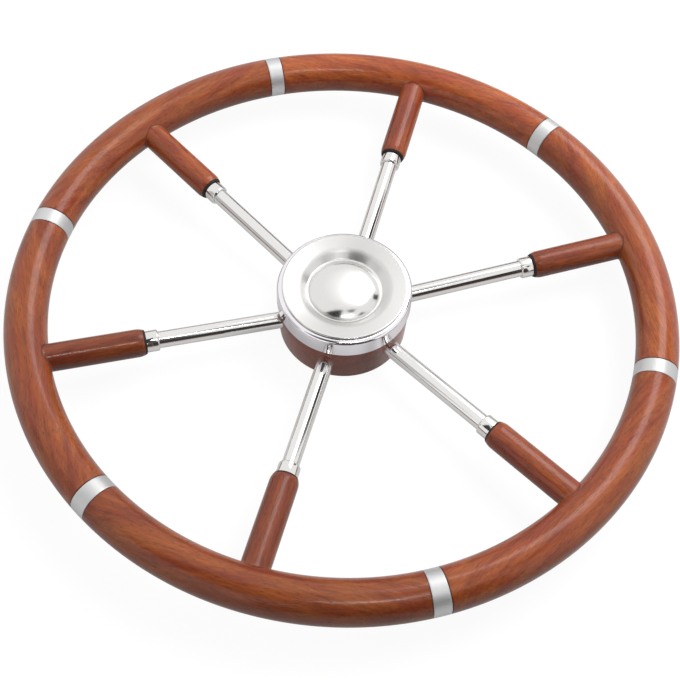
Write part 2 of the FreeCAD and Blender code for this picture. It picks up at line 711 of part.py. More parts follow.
# Centre cap: a polished domed shell with a rounded edge, over the shaft nut. Its skirt carries a
# grooved seat for the ring that holds it in the neck.
def centre_cap():
    body = new_body("centre_cap", "first_spoke_angle")
    profile = new_sketch(body, "profile")
    skirt = "skirt_diameter / 2"
    groove = "oring_radius - oring_section / 2"
    groove_top = "seat_height - oring_drop + oring_section / 2 + slide_fit"
    groove_foot = "seat_height - oring_drop - oring_section / 2 - slide_fit"
    outline(profile, [
        ("0", "seat_height + cap_height - cap_wall"),
        ("0", "seat_height + cap_height"),
        ("cap_brow_diameter / 2", "cap_brow_height"),
        ("cap_diameter / 2", "seat_height + cap_lip"),
        ("cap_diameter / 2", "seat_height"),
        (skirt, "seat_height"),
        (skirt, groove_top),
        (groove, groove_top),
        (groove, groove_foot),
        (skirt, groove_foot),
        (skirt, "seat_height - skirt_depth"),
        ("hollow_radius", "seat_height - skirt_depth"),
        ("hollow_radius", "hollow_height"),
    ], arcs={1: "-crown_radius", 2: "-cap_edge_radius", 12: "crown_radius - cap_wall"})
    revolve(body, profile, "turning")
    return body


# Cap ring: a rubber cord ring in the skirt's groove.
def cap_o_ring():
    body = new_body("cap_o_ring", "first_spoke_angle")
    section = new_sketch(body, "section")
    circle(section, "oring_radius", "seat_height - oring_drop", "oring_section")
    revolve(body, section, "cord")
    return body


# Every piece, the repeated ones once for each spoke or joint.
doc.recompute()
bodies = []
for place in range(int(sizes.spoke_count)):
    at_spoke = f"first_spoke_angle + {place} * pitch"
    at_joint = f"first_spoke_angle + {place} * pitch + pitch / 2"
    for make in (rim_segment, spoke, grip, grip_washer, ferrule):
        bodies.append(make(f"{make.__name__}_{place + 1}", at_spoke))
    for make in (rim_ring, rim_dowel):
        bodies.append(make(f"{make.__name__}_{place + 1}", at_joint))
for make in (hub_boss, hub_wood_ring, base_plate, base_screws, hub_band, band_screws,
             spoke_set_screws, hub_disc, centre_cap, cap_o_ring):
    bodies.append(make())
doc.recompute()

# Nothing is written unless every object and every shape is sound.
failed = [item.Label for item in doc.Objects if "Invalid" in item.State or "Error" in item.State]
failed += [body.Label for body in bodies if body.Shape.isNull() or not body.Shape.isValid()]
if failed:
    raise RuntimeError("unsound: " + ", ".join(failed))
os.makedirs("parts", exist_ok=True)
for body in bodies:
    body.Shape.exportStep(f"parts/{body.Label}.step")
    print(f"{body.Label}: {len(body.Shape.Solids)} solid, {body.Shape.Volume:.0f} mm3")
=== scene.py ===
import math

import bmesh
import bpy
from mathutils import Matrix, Vector


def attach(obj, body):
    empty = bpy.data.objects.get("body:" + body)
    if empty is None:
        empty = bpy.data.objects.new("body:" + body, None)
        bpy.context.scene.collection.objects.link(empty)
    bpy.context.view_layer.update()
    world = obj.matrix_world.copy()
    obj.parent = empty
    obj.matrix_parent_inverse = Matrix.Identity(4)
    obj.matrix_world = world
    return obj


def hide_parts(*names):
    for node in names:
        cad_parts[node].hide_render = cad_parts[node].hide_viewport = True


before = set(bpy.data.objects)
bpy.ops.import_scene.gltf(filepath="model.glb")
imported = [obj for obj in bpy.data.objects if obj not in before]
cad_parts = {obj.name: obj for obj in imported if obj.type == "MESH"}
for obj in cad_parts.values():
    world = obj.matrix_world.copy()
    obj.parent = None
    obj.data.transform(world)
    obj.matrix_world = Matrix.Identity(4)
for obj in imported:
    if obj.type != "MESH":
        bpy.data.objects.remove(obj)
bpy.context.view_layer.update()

# Rim segments: six felloes sawn from straight mahogany boards, glued end to end, turned to a round
# section and varnished. The straight grain runs out of the curve towards their ends. Each end is
# turned down for the ring over the joint, and beside the ring the wood is painted with a dark
# line, part stain and part painted shade of the joint.
MM = 0.001
SPOKES = 6
PITCH = 2 * math.pi / SPOKES
FIRST_SPOKE = math.pi / 2
RIM_RADIUS = 262.5
RIM_SECTION = 17.5
RIM_HEIGHT = 36.5
GLUE_LINE = 0.1
RING_WIDTH = 13.0
RING_WALL = 1.5
REBATE_SPARE = 0.1
FELLOE_EDGE = 0.25
EASE_SHARE = 0.3
# The dark line at each joint, part stain and part painted shade: its width in mm and its darkness.
JOINT_LINE = 1.1
JOINT_STAIN_AND_SHADE = 0.95
FELLOE_SIDES = 96
FELLOE_STATIONS = 72
FELLOE_SEED = 744
SAME_POINT = 0.0001
SHARP_ANGLE = 32


def lofted(name, rings, closed=False, stain_and_shade=None, sharp=SHARP_ANGLE):
    """A skin over rings of points in mm, with a lid on each end or closed round on itself. The
    stain and shade say how dark each ring is painted, for stain and painted shade at joints, and
    edges past the sharp angle, in degrees, stay crisp."""
    sides = len(rings[0])
    mesh = bpy.data.meshes.new(name)
    corners = [Vector(point) * MM for ring in rings for point in ring]
    pairs = [(k, k + 1) for k in range(len(rings) - 1)]
    pairs += [(len(rings) - 1, 0)] if closed else []
    faces = []
    for low, high in pairs:
        for side in range(sides):
            following = (side + 1) % sides
            faces.append((low * sides + side, low * sides + following,
                          high * sides + following, high * sides + side))
    if not closed:
        faces.append(tuple(range(sides)))
        faces.append(tuple(reversed(range((len(rings) - 1) * sides, len(rings) * sides))))
    mesh.from_pydata(corners, [], faces)
    joint = mesh.attributes.new("stain_and_shade", "FLOAT", "POINT")
    shares = stain_and_shade or [0.0] * len(rings)
    joint.data.foreach_set("value", [share for share in shares for _ in range(sides)])
    work = bmesh.new()
    work.from_mesh(mesh)
    bmesh.ops.remove_doubles(work, verts=work.verts, dist=SAME_POINT * MM)
    loose = [edge for edge in work.edges if edge.is_wire]
    bmesh.ops.delete(work, geom=loose, context="EDGES")
    bmesh.ops.recalc_face_normals(work, faces=work.faces)
    work.to_mesh(mesh)
    work.free()
    mesh.shade_smooth()
    mesh.set_sharp_from_angle(angle=math.radians(sharp))
    piece = bpy.data.objects.new(name, mesh)
    bpy.context.scene.collection.objects.link(piece)
    return piece


def grain_along(piece, along, across):
    """Gives each point its place in the board: along the grain first, then two ways across it."""
    up = Vector(along).cross(Vector(across))
    places = []
    for vertex in piece.data.vertices:
        places += [vertex.co.dot(Vector(along)), vertex.co.dot(Vector(across)), vertex.co.dot(up)]
    piece.data.attributes.new("timber", "FLOAT_VECTOR", "POINT").data.foreach_set("vector", places)


def rim_ring_of_points(distance, radius, sides):
    """One turn round the rim's section, a distance along the rim from the +X axis."""
    turn = distance / RIM_RADIUS
    points = []
    for side in range(sides):
        angle = 2 * math.pi * side / sides
        out = RIM_RADIUS + radius * math.cos(angle)
        points.append((out * math.cos(turn), out * math.sin(turn),
                       RIM_HEIGHT + radius * math.sin(angle)))
    return points


def felloe():
    """One segment, centred on the +X axis, as stations of distance along the rim and radius."""
    half = PITCH * RIM_RADIUS / 2 - GLUE_LINE / 2
    step = PITCH * RIM_RADIUS / 2 - RING_WIDTH / 2 - REBATE_SPARE
    tenon = RIM_SECTION - RING_WALL - REBATE_SPARE
    ease = EASE_SHARE * FELLOE_EDGE
    clear = step - JOINT_LINE
    end = [(half, tenon), (step, tenon), (step, RIM_SECTION - FELLOE_EDGE),
           (step - ease, RIM_SECTION - ease), (step - FELLOE_EDGE, RIM_SECTION),
           (clear, RIM_SECTION)]
    stations = [(-distance, radius) for distance, radius in end]
    for k in range(1, FELLOE_STATIONS):
        share = 2 * k / FELLOE_STATIONS - 1
        stations.append((share * clear, RIM_SECTION))
    stations += reversed(end)
    # Beside each ring the wood is painted dark, as stain and painted shade of the joint.
    stain_and_shade = [JOINT_STAIN_AND_SHADE if abs(distance) > clear else 0.0 for distance, radius in stations]
    piece = lofted("felloe", [rim_ring_of_points(*place, FELLOE_SIDES) for place in stations],
                   stain_and_shade=stain_and_shade)
    grain_along(piece, (0, 1, 0), (1, 0, 0))
    return piece


def add(tree, kind, inputs=None, **settings):
    """A node with its settings, and its inputs set to values or linked to other sockets."""
    node = tree.nodes.new(kind)
    for key, value in settings.items():
        setattr(node, key, value)
    for key, value in (inputs or {}).items():
        if isinstance(value, bpy.types.NodeSocket):
            tree.links.new(value, node.inputs[key])
        else:
            node.inputs[key].default_value = value
    return node


def linear(code):
    """The linear colour of an sRGB hex value."""
    parts = [int(code[k:k + 2], 16) / 255 for k in (1, 3, 5)]
    return [*(p / 12.92 if p <= 0.04045 else ((p + 0.055) / 1.055) ** 2.4 for p in parts), 1.0]


def new_material(name):
    """An empty material and its node tree."""
    material = bpy.data.materials.new(name)
    material.use_nodes = True
    material.node_tree.nodes.clear()
    return material, material.node_tree


# Varnished mahogany: sawn and turned, stained, and coated. To the eye it is red-brown with
# orange heartwood, slow ribbon stripes, fine fibres and short dark pores, under a soft gloss that
# the open pores break up. Each board has its own depth of colour, and at joints the wood is
# painted dark, part stain and part painted shade.
WANDER_ALONG = 90
WANDER_ACROSS = 40
WANDER = 14


def varnished_mahogany(name, brown, orange, dark, gloss):
    """The colours are the wood's two and the dark of its pores, stain and painted shade at joints.
    Patterns are in mm along and across the grain, and the gloss is the varnish's roughness."""
    material, tree = new_material(name)
    timber = add(tree, "ShaderNodeAttribute", attribute_name="timber")
    board = add(tree, "ShaderNodeVectorMath", {0: timber.outputs["Vector"], "Scale": 1 / MM},
                operation="SCALE")
    slow = add(tree, "ShaderNodeMapping",
               {0: board.outputs[0],
                "Scale": (1 / WANDER_ALONG, 1 / WANDER_ACROSS, 1 / WANDER_ACROSS)})
    wander = add(tree, "ShaderNodeTexNoise", {"Vector": slow.outputs[0], "Scale": 1, "Detail": 1})
    centred = add(tree, "ShaderNodeVectorMath", {0: wander.outputs["Color"], 1: (0.5, 0.5, 0.5)},
                  operation="SUBTRACT")
    bend = add(tree, "ShaderNodeVectorMath", {0: centred.outputs[0], 1: (0, WANDER, WANDER)},
               operation="MULTIPLY")
    wood = add(tree, "ShaderNodeVectorMath", {0: board.outputs[0], 1: bend.outputs[0]}).outputs[0]
    pattern = {}
    for kind, shift, along, across, detail in (
            ("figure", 6, 60, 9, 3), ("ribbon", 6, 90, 3.2, 2), ("smoke", 5, 22, 4, 2),
            ("fibre", 5, 9, 0.8, 2), ("pore", 4, 5.5, 0.75, 1), ("swell", 5, 3.2, 1.8, 1)):
        stretch = add(tree, "ShaderNodeMapping",
                      {0: wood, "Location": (shift, 0, 0),
                       "Scale": (1 / along, 1 / across, 1 / across)})
        noise = add(tree, "ShaderNodeTexNoise", {"Vector": stretch.outputs[0], "Scale": 1,
                                                 "Detail": detail})
        pattern[kind] = noise.outputs[0]
    heart = add(tree, "ShaderNodeMapRange", {0: pattern["figure"], 1: 0.37, 2: 0.63})
    colour = add(tree, "ShaderNodeMix", {0: heart.outputs[0], 6: linear(brown), 7: linear(orange)},
                 data_type="RGBA").outputs[2]
    stripe = add(tree, "ShaderNodeMapRange",
                 {0: pattern["ribbon"], 1: 0.3, 2: 0.7, 3: 0.84, 4: 1.16})
    thread = add(tree, "ShaderNodeMapRange",
                 {0: pattern["fibre"], 1: 0.3, 2: 0.7, 3: 0.84, 4: 1.16})
    grain = add(tree, "ShaderNodeMath", {0: stripe.outputs[0], 1: thread.outputs[0]},
                operation="MULTIPLY")
    tone = add(tree, "ShaderNodeAttribute", attribute_name="tone")
    depth = add(tree, "ShaderNodeMapRange",
                {0: tone.outputs["Fac"], 1: -1, 2: 1, 3: 0.74, 4: 1.16})
    shade = add(tree, "ShaderNodeMath", {0: grain.outputs[0], 1: depth.outputs[0]},
                operation="MULTIPLY")
    colour = add(tree, "ShaderNodeMix", {0: 1.0, 6: colour, 7: shade.outputs[0]},
                 data_type="RGBA", blend_type="MULTIPLY").outputs[2]
    smoke = add(tree, "ShaderNodeMapRange", {0: pattern["smoke"], 1: 0.58, 2: 0.82, 4: 0.5})
    pore = add(tree, "ShaderNodeMapRange", {0: pattern["pore"], 1: 0.58, 2: 0.68})
    pores = add(tree, "ShaderNodeMath", {0: pore.outputs[0], 1: 0.4}, operation="MULTIPLY")
    marks = add(tree, "ShaderNodeMath", {0: pores.outputs[0], 1: smoke.outputs[0]},
                operation="MAXIMUM")
    # Joints painted dark, part stain and part painted shade.
    stain_and_shade = add(tree, "ShaderNodeAttribute", attribute_name="stain_and_shade")
    marks = add(tree, "ShaderNodeMath", {0: marks.outputs[0], 1: stain_and_shade.outputs["Fac"]},
                operation="MAXIMUM")
    colour = add(tree, "ShaderNodeMix", {0: marks.outputs[0], 6: colour, 7: linear(dark)},
                 data_type="RGBA").outputs[2]
    dips = add(tree, "ShaderNodeMath", {0: pore.outputs[0], 1: -0.6, 2: pattern["fibre"]},
               operation="MULTIPLY_ADD")
    relief = add(tree, "ShaderNodeMath", {0: pattern["swell"], 1: 1.0, 2: dips.outputs[0]},
                 operation="MULTIPLY_ADD")
    bump = add(tree, "ShaderNodeBump", {"Height": relief.outputs[0], "Strength": 0.4,
                                        "Distance": 0.1 * MM})
    skin = add(tree, "ShaderNodeBsdfPrincipled",
               {"Base Color": colour, "Roughness": 0.5, "Specular IOR Level": 0.1,
                "Normal": bump.outputs[0], "Coat Weight": 1.0, "Coat Roughness": gloss,
                "Coat IOR": 1.42, "Coat Normal": bump.outputs[0]})
    add(tree, "ShaderNodeOutputMaterial", {0: skin.outputs[0]})
    return material


rim_wood = varnished_mahogany("rim_varnished_mahogany", "#984426", "#AD5B2C", "#3C150A", 0.16)


def around_the_wheel():
    """A tree that repeats a piece round the wheel's axis, and gives each copy its own place in a
    board and its own depth of colour."""
    tree = bpy.data.node_groups.new("around_the_wheel", "GeometryNodeTree")
    tree.interface.new_socket("Piece", in_out="INPUT", socket_type="NodeSocketGeometry")
    tree.interface.new_socket("Count", in_out="INPUT", socket_type="NodeSocketInt")
    tree.interface.new_socket("First Angle", in_out="INPUT", socket_type="NodeSocketFloat")
    tree.interface.new_socket("Seed", in_out="INPUT", socket_type="NodeSocketInt")
    tree.interface.new_socket("Material", in_out="INPUT", socket_type="NodeSocketMaterial")
    tree.interface.new_socket("Pieces", in_out="OUTPUT", socket_type="NodeSocketGeometry")
    given = add(tree, "NodeGroupInput").outputs
    places = add(tree, "GeometryNodePoints", {"Count": given["Count"]})
    index = add(tree, "GeometryNodeInputIndex")
    pitch = add(tree, "ShaderNodeMath", {0: 2 * math.pi, 1: given["Count"]}, operation="DIVIDE")
    angle = add(tree, "ShaderNodeMath", {0: index.outputs[0], 1: pitch.outputs[0],
                                         2: given["First Angle"]}, operation="MULTIPLY_ADD")
    turn = add(tree, "ShaderNodeCombineXYZ", {"Z": angle.outputs[0]})
    copies = add(tree, "GeometryNodeInstanceOnPoints",
                 {"Points": places.outputs[0], "Instance": given["Piece"],
                  "Rotation": turn.outputs[0]})
    numbered = add(tree, "GeometryNodeStoreNamedAttribute",
                   {"Geometry": copies.outputs[0], "Name": "piece", "Value": index.outputs[0]},
                   domain="INSTANCE", data_type="INT")
    solid = add(tree, "GeometryNodeRealizeInstances", {0: numbered.outputs[0]})
    piece = add(tree, "GeometryNodeInputNamedAttribute", {"Name": "piece"}, data_type="INT")
    timber = add(tree, "GeometryNodeInputNamedAttribute", {"Name": "timber"},
                 data_type="FLOAT_VECTOR")
    board = add(tree, "FunctionNodeRandomValue",
                {"Min": (-1, -1, -1), "Max": (1, 1, 1), "ID": piece.outputs[0],
                 "Seed": given["Seed"]}, data_type="FLOAT_VECTOR")
    moved = add(tree, "ShaderNodeVectorMath", {0: timber.outputs[0], 1: board.outputs[0]})
    stored = add(tree, "GeometryNodeStoreNamedAttribute",
                 {"Geometry": solid.outputs[0], "Name": "timber", "Value": moved.outputs[0]},
                 domain="POINT", data_type="FLOAT_VECTOR")
    depth = add(tree, "FunctionNodeRandomValue",
                {2: -1.0, 3: 1.0, "ID": piece.outputs[0], "Seed": given["Seed"]},
                data_type="FLOAT")
    toned = add(tree, "GeometryNodeStoreNamedAttribute",
                {"Geometry": stored.outputs[0], "Name": "tone", "Value": depth.outputs[1]},
                domain="POINT", data_type="FLOAT")
    dressed = add(tree, "GeometryNodeSetMaterial",
                  {"Geometry": toned.outputs[0], "Material": given["Material"]})
    add(tree, "NodeGroupOutput", {0: dressed.outputs[0]})
    return tree


WHEEL_TREE = around_the_wheel()


def repeated(base, name, first_angle, material, seed=0):
    """Six of a piece as one plain mesh, and the single one is thrown away."""
    modifier = base.modifiers.new("round", "NODES")
    modifier.node_group = WHEEL_TREE
    values = {"Count": SPOKES, "First Angle": first_angle, "Seed": seed, "Material": material}
    for item in WHEEL_TREE.interface.items_tree:
        if item.in_out == "INPUT" and item.name in values:
            modifier[item.identifier] = values[item.name]
    base.update_tag()
    made = base.evaluated_get(bpy.context.evaluated_depsgraph_get())
    mesh = bpy.data.meshes.new_from_object(made, preserve_all_data_layers=True,
                                           depsgraph=bpy.context.evaluated_depsgraph_get())
    mesh.name = name
    base.modifiers.clear()
    old = base.data
    base.data = mesh
    base.name = name
    bpy.data.meshes.remove(old)
    return base


def place(piece, slot, *replaced):
    """The piece rides with the wheel and stands for its CAD nodes, which it hides. The slot is not
    used.
    """
    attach(piece, "root")
    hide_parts(*replaced)


def six(name):
    """The names of the six CAD nodes of one kind."""
    return [f"{name}_{k + 1}" for k in range(SPOKES)]


felloes = repeated(felloe(), "rim_felloes", FIRST_SPOKE, rim_wood, FELLOE_SEED)
place(felloes, "rim_wood", *six("rim_segment"))

# Rim rings: flush stainless bands, 13 mm wide, let in over the six joints of the rim. They are
# rubbed down with the wood, so fine brushed lines run round the section, and their sharp edges
# are eased, which leaves a dark line against the varnish.
RING_SIDES = 96
RING_EDGE = 0.35
RING_EDGE_STEPS = 4
RING_STATIONS = 8
RING_SHARP_ANGLE = 50


def joint_ring():
    """One ring, centred on the +X axis: its outer face, its ends and its bore."""
    half = RING_WIDTH / 2
    near_edge = [(-half, RIM_SECTION - RING_EDGE)]
    for k in range(1, RING_EDGE_STEPS + 1):
        turn = math.pi / 2 * k / RING_EDGE_STEPS
        near_edge.append((-half + RING_EDGE * (1 - math.cos(turn)),
                          RIM_SECTION - RING_EDGE * (1 - math.sin(turn))))
    far_edge = [(-distance, radius) for distance, radius in reversed(near_edge)]
    face = [(-half + RING_EDGE + k * (RING_WIDTH - 2 * RING_EDGE) / RING_STATIONS, RIM_SECTION)
            for k in range(1, RING_STATIONS)]
    bore = [(half, RIM_SECTION - RING_WALL), (-half, RIM_SECTION - RING_WALL)]
    rings = [rim_ring_of_points(*station, RING_SIDES)
             for station in near_edge + face + far_edge + bore]
    return lofted("joint_ring", rings, closed=True, sharp=RING_SHARP_ANGLE)


# Brushed stainless: abrasive lines a few hundredths wide, drawn 0.4 mm apart and 3.3 mm long so
# that they show. To the eye it is a pale, blurred sheen.
def brushed_steel(name, colour, roughness):
    """The lines' scales are counts per metre."""
    material, tree = new_material(name)
    spot = add(tree, "ShaderNodeTexCoord")
    fine = add(tree, "ShaderNodeMapping", {0: spot.outputs["Object"],
                                           "Scale": (2500, 2500, 300)})
    lines = add(tree, "ShaderNodeTexNoise", {"Vector": fine.outputs[0], "Scale": 1, "Detail": 2})
    dull = add(tree, "ShaderNodeMapRange", {0: lines.outputs[0], 1: 0.3, 2: 0.7,
                                            3: roughness - 0.07, 4: roughness + 0.07})
    bump = add(tree, "ShaderNodeBump", {"Height": lines.outputs[0], "Strength": 0.25,
                                        "Distance": 0.03 * MM})
    skin = add(tree, "ShaderNodeBsdfPrincipled",
               {"Base Color": linear(colour), "Metallic": 1.0, "Roughness": dull.outputs[0],
                "Normal": bump.outputs[0]})
    add(tree, "ShaderNodeOutputMaterial", {0: skin.outputs[0]})
    return material


ring_steel = brushed_steel("ring_brushed_steel", "#D6D6D6", 0.5)
rings = repeated(joint_ring(), "rim_rings", FIRST_SPOKE + PITCH / 2, ring_steel)
place(rings, "ring_steel", *six("rim_ring"))

# Rim dowels: turned beech pins, glued across the joints under the rings and quite hidden. They
# keep the CAD solids and only get their wood.


def dress(material, *names):
    """Gives CAD nodes a material in place of the plain one."""
    for name in names:
        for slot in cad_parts[name].material_slots:
            slot.material = material


# Bare beech: turned and left unfinished. To the eye it is dull, pale brown hardwood with short
# darker flecks about 1.4 mm long.
def bare_beech(name):
    material, tree = new_material(name)
    spot = add(tree, "ShaderNodeTexCoord")
    flecks = add(tree, "ShaderNodeTexVoronoi", {"Vector": spot.outputs["Object"], "Scale": 700})
    fleck = add(tree, "ShaderNodeMapRange", {0: flecks.outputs["Distance"], 1: 0.2, 2: 0.5})
    colour = add(tree, "ShaderNodeMix", {0: fleck.outputs[0], 6: linear("#A9794C"),
                                         7: linear("#CDA273")}, data_type="RGBA")
    skin = add(tree, "ShaderNodeBsdfPrincipled",
               {"Base Color": colour.outputs[2], "Roughness": 0.65})
    add(tree, "ShaderNodeOutputMaterial", {0: skin.outputs[0]})
    return material


dress(bare_beech("dowel_beech"), *six("rim_dowel"))

# Spokes: six seamless stainless tubes, 14 mm across, buffed to a mirror. They rise from the hub
# to the rim, where they are pushed into the wood.
SPOKE_HEIGHT = 20.5
SPOKE_SLOPE = math.atan((RIM_HEIGHT - SPOKE_HEIGHT) / RIM_RADIUS)
SPOKE_RADIUS = 7.0
SPOKE_WALL = 1.5
SPOKE_START = 21.0
SPOKE_END = 267.49
SPOKE_SIDES = 96


def on_spoke(along, radius, angle):
    """A point by its distance along the spoke's axis, from the wheel's axis, and round it."""
    out = along * math.cos(SPOKE_SLOPE) - radius * math.sin(angle) * math.sin(SPOKE_SLOPE)
    rise = along * math.sin(SPOKE_SLOPE) + radius * math.sin(angle) * math.cos(SPOKE_SLOPE)
    return (out, radius * math.cos(angle), SPOKE_HEIGHT + rise)


def sleeve(name, stations):
    """A turned tube on the spoke's axis from a closed outline of distance and radius."""
    angles = [2 * math.pi * side / SPOKE_SIDES for side in range(SPOKE_SIDES)]
    rings = [[on_spoke(along, radius, angle) for angle in angles] for along, radius in stations]
    return lofted(name, rings, closed=True)


# Polished stainless: buffed until it mirrors the room, with patches of faint haze about 11 mm
# wide. To the eye it is whatever stands round it, a little greyed.
def polished_steel(name, colour, roughness):
    material, tree = new_material(name)
    spot = add(tree, "ShaderNodeTexCoord")
    haze = add(tree, "ShaderNodeTexNoise", {"Vector": spot.outputs["Object"], "Scale": 90,
                                            "Detail": 3})
    dull = add(tree, "ShaderNodeMapRange", {0: haze.outputs[0], 1: 0.3, 2: 0.7,
                                            3: roughness * 0.7, 4: roughness * 1.3})
    skin = add(tree, "ShaderNodeBsdfPrincipled",
               {"Base Color": linear(colour), "Metallic": 1.0, "Roughness": dull.outputs[0]})
    add(tree, "ShaderNodeOutputMaterial", {0: skin.outputs[0]})
    return material


spoke_steel = polished_steel("spoke_polished_steel", "#E9E8E6", 0.09)
tube = [(SPOKE_START, SPOKE_RADIUS), (SPOKE_END, SPOKE_RADIUS),
        (SPOKE_END, SPOKE_RADIUS - SPOKE_WALL), (SPOKE_START, SPOKE_RADIUS - SPOKE_WALL)]
spokes = repeated(sleeve("tube", tube), "spokes", FIRST_SPOKE, spoke_steel)
place(spokes, "spoke_steel", *six("spoke"))

# Grips: mahogany sleeves turned to 23 mm, slid on the spokes. The inner end draws in to a
# rounded edge, and the outer end is coped to the round rim, with a small hollow of varnish
# in the corner, which is painted darker towards the rim as stain and painted shade of the
# corner. The grain runs along the spoke.
GRIP_RADIUS = 11.6
GRIP_BORE = 7.1
GRIP_START = 169.587
GRIP_END_RADIUS = 10.7
GRIP_EDGE = 0.6
GRIP_NOSE = 6.0
GRIP_FILLET = 1.3
COPE_CLEARANCE = 0.03
EDGE_STEPS = 4
NOSE_STEPS = 6
GRIP_STATIONS = 32
FILLET_STEPS = 6
# How the painted dark of stain and shade grows across the hollow towards the rim.
STAIN_AND_SHADE_FADE = 1.5
GRIP_SEED = 2211
HALVINGS = 40


def reach_rim(radius, angle):
    """Where a line along the spoke, at a radius and angle from its axis, meets the round rim."""
    low, high = GRIP_START, RIM_RADIUS
    for _ in range(HALVINGS):
        middle = (low + high) / 2
        x, y, z = on_spoke(middle, radius, angle)
        away = math.hypot(math.hypot(x, y) - RIM_RADIUS, z - RIM_HEIGHT)
        low, high = (middle, high) if away > RIM_SECTION - COPE_CLEARANCE else (low, middle)
    return low


def coped_grip():
    """One grip on the spoke of the +X axis: its nose, its body and the cope on the rim."""
    drop = GRIP_RADIUS - GRIP_END_RADIUS
    nose_radius = ((GRIP_NOSE - GRIP_EDGE) ** 2 + drop ** 2) / (2 * drop)
    head = [(0.0, GRIP_BORE), (0.0, GRIP_END_RADIUS - GRIP_EDGE)]
    for k in range(1, EDGE_STEPS + 1):
        turn = math.pi / 2 * k / EDGE_STEPS
        head.append((GRIP_EDGE * (1 - math.cos(turn)),
                     GRIP_END_RADIUS - GRIP_EDGE * (1 - math.sin(turn))))
    for k in range(1, NOSE_STEPS + 1):
        along = GRIP_EDGE + (GRIP_NOSE - GRIP_EDGE) * k / NOSE_STEPS
        sag = nose_radius - math.sqrt(nose_radius ** 2 - (GRIP_NOSE - along) ** 2)
        head.append((along, GRIP_RADIUS - sag))
    angles = [2 * math.pi * side / SPOKE_SIDES for side in range(SPOKE_SIDES)]
    rings = [[on_spoke(GRIP_START + along, radius, a) for a in angles] for along, radius in head]
    stain_and_shade = [0.0] * len(rings)
    start = GRIP_START + GRIP_NOSE
    for k in range(1, GRIP_STATIONS + 1):
        share = k / GRIP_STATIONS
        rings.append([on_spoke(start + share * (reach_rim(GRIP_RADIUS, a) - GRIP_FILLET - start),
                               GRIP_RADIUS, a) for a in angles])
        stain_and_shade.append(0.0)
    for k in range(1, FILLET_STEPS + 1):
        turn = math.pi / 2 * k / FILLET_STEPS
        radius = GRIP_RADIUS + GRIP_FILLET * (1 - math.cos(turn))
        rings.append([on_spoke(reach_rim(radius, a) - GRIP_FILLET * (1 - math.sin(turn)),
                               radius, a) for a in angles])
        # The hollow is painted darker towards the rim: stain and painted shade in the corner.
        stain_and_shade.append(JOINT_STAIN_AND_SHADE * (k / FILLET_STEPS) ** STAIN_AND_SHADE_FADE)
    rings.append([on_spoke(reach_rim(GRIP_BORE, a), GRIP_BORE, a) for a in angles])
    stain_and_shade.append(0.0)
    piece = lofted("grip", rings, closed=True, stain_and_shade=stain_and_shade)
    grain_along(piece, (math.cos(SPOKE_SLOPE), 0, math.sin(SPOKE_SLOPE)), (0, 1, 0))
    return piece


grip_wood = varnished_mahogany("grip_varnished_mahogany", "#863A22", "#9D4F28", "#3A150C", 0.17)
grips = repeated(coped_grip(), "grips", FIRST_SPOKE, grip_wood, GRIP_SEED)
place(grips, "grip_wood", *six("grip"))

# Grip washers: thin gaskets of black rubber between the end grain and the collar, bevelled to
# the collar. They show as a dark line.
WASHER_START = 168.187
WASHER_RADIUS = 10.5
WASHER_BEVEL = 0.7


# Black rubber: moulded and cut from sheet. To the eye it is a warm near-black with a dull, barely
# mottled face.
def black_rubber(name):
    material, tree = new_material(name)
    spot = add(tree, "ShaderNodeTexCoord")
    speck = add(tree, "ShaderNodeTexNoise", {"Vector": spot.outputs["Object"], "Scale": 1800,
                                             "Detail": 2})
    dull = add(tree, "ShaderNodeMapRange", {0: speck.outputs[0], 3: 0.5, 4: 0.75})
    skin = add(tree, "ShaderNodeBsdfPrincipled",
               {"Base Color": linear("#17130F"), "Roughness": dull.outputs[0]})
    add(tree, "ShaderNodeOutputMaterial", {0: skin.outputs[0]})
    return material


rubber = black_rubber("gasket_black_rubber")
washer = [(WASHER_START, GRIP_BORE), (WASHER_START, WASHER_RADIUS - WASHER_BEVEL),
          (GRIP_START, WASHER_RADIUS), (GRIP_START, GRIP_BORE)]
washers = repeated(sleeve("washer", washer), "grip_washers", FIRST_SPOKE, rubber)
place(washers, "gasket_rubber", *six("grip_washer"))

# Ferrules: turned collars of polished stainless that slide on the spokes against the washers,
# with a rounded edge towards the hub.
FERRULE_START = 157.487
FERRULE_RADIUS = 8.9
FERRULE_ROUND = 1.6
FERRULE_EDGE = 0.25
FERRULE_STEPS = 8
ease = EASE_SHARE * FERRULE_EDGE
collar = [(WASHER_START, GRIP_BORE), (WASHER_START, FERRULE_RADIUS - FERRULE_EDGE),
          (WASHER_START - ease, FERRULE_RADIUS - ease),
          (WASHER_START - FERRULE_EDGE, FERRULE_RADIUS)]
for step in range(FERRULE_STEPS + 1):
    bend = math.pi / 2 * step / FERRULE_STEPS
    collar.append((FERRULE_START + FERRULE_ROUND * (1 - math.sin(bend)),
                   FERRULE_RADIUS - FERRULE_ROUND * (1 - math.cos(bend))))
collar.append((FERRULE_START, GRIP_BORE))
ferrule_steel = polished_steel("ferrule_polished_steel", "#E6E5E2", 0.1)
ferrules = repeated(sleeve("collar", collar), "ferrules", FIRST_SPOKE, ferrule_steel)
place(ferrules, "ferrule_steel", *six("ferrule"))

# Boss, base plate, fasteners and cap ring: the turned metal inside the hub, the plate and screws
# on its underside, and the rubber ring that the cap snaps on. They keep the CAD solids, straight
# from the lathe, with plain bright screws.


